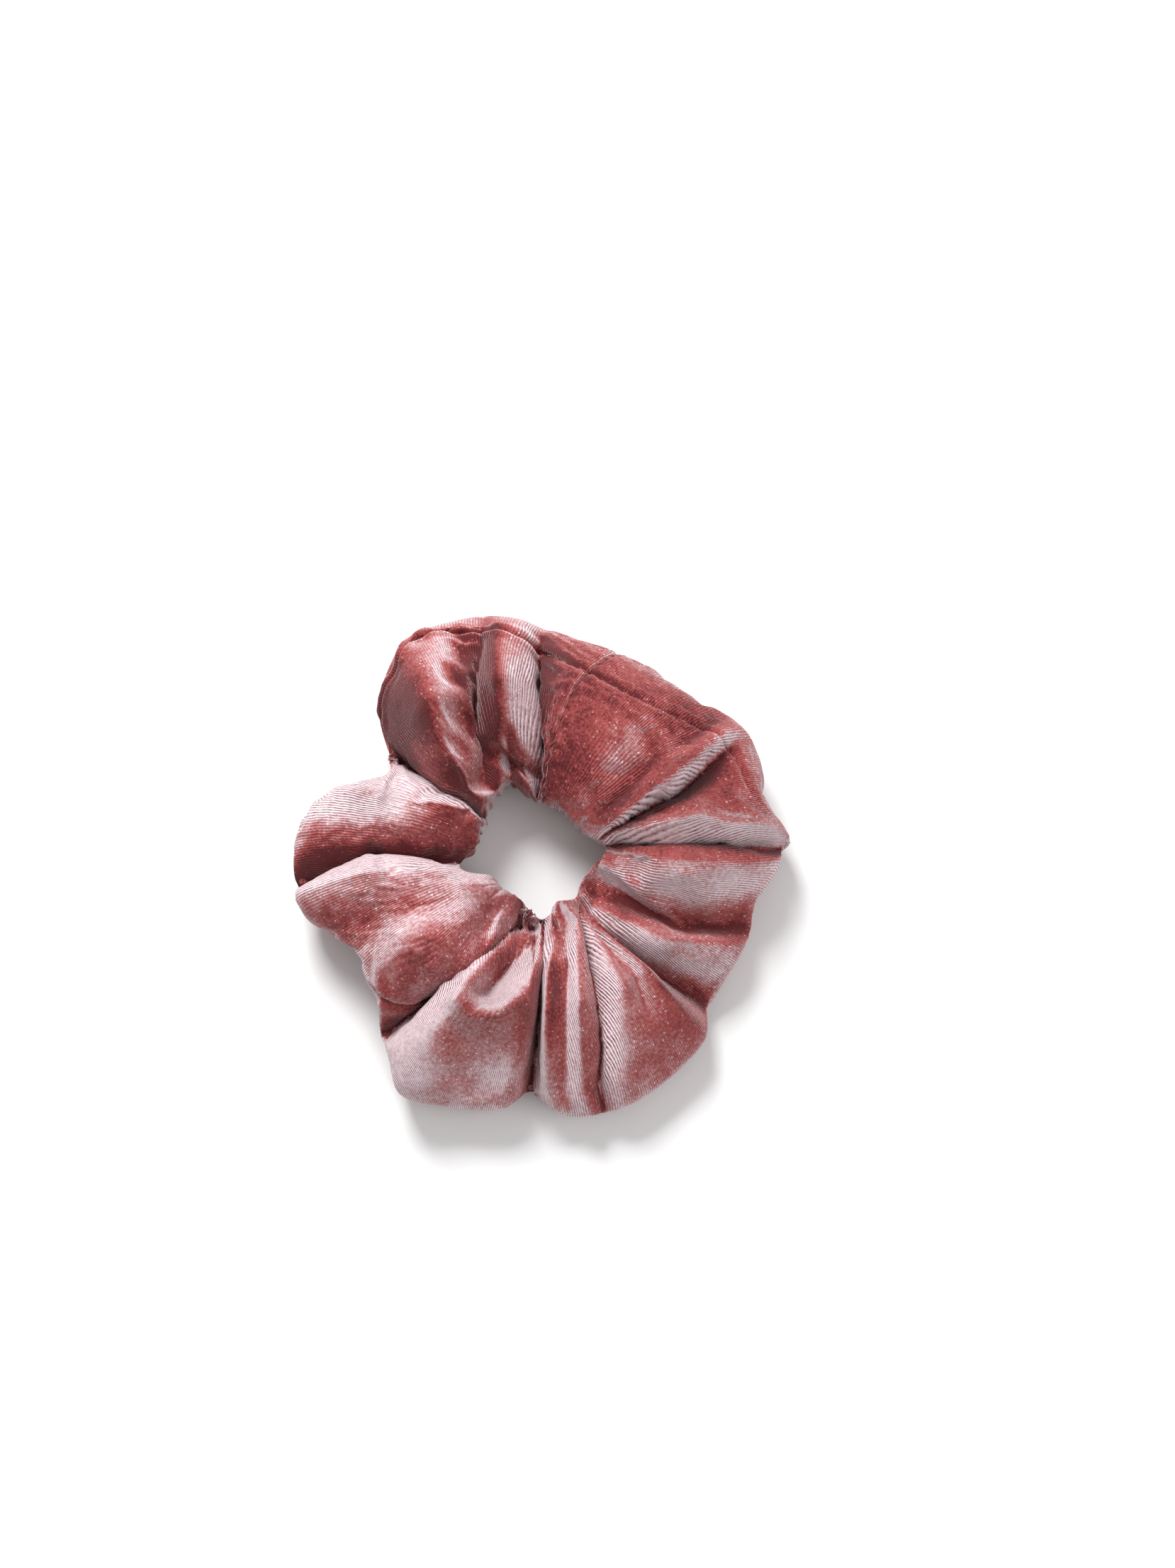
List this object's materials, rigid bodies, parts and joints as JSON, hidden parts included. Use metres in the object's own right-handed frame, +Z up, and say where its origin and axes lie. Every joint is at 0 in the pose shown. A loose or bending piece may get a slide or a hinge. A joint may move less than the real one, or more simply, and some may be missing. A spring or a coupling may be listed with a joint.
{
  "type": "scrunchie",
  "caption": "Velvet scrunchie: a sewn tube of pile cloth gathered into soft lobes round a loop of flat elastic, lying relaxed. It stretches along X.",
  "frame": {"origin": "middle of the ring, on the surface it lies on", "axes": "+Z up through the hole, +Y through the closing seam, +X the way the pulled half leaves the still half"},
  "size_m": [0.1136, 0.1136, 0.036],
  "materials": {
    "velvet": "short pile velvet, dusty rose with a silvery sheen",
    "elastic": "braided white yarn over rubber",
    "thread": "matt polyester thread"
  },
  "bodies": {
    "still_half": {"cover_still_half": "velvet", "elastic_still_half": "elastic", "long_seam_still_half": "thread"},
    "pulled_half": {"cover_pulled_half": "velvet", "elastic_pulled_half": "elastic", "elastic_lapped_end": "elastic", "elastic_join_stitching": "thread", "long_seam_pulled_half": "thread", "closing_seam": "thread"}
  },
  "joints": [
    {"name": "stretch", "type": "slide", "parent": "still_half", "child": "pulled_half", "axis": [1, 0, 0], "range_m": [0, 0.09], "stiffness_N_per_m": 80}
  ]
}
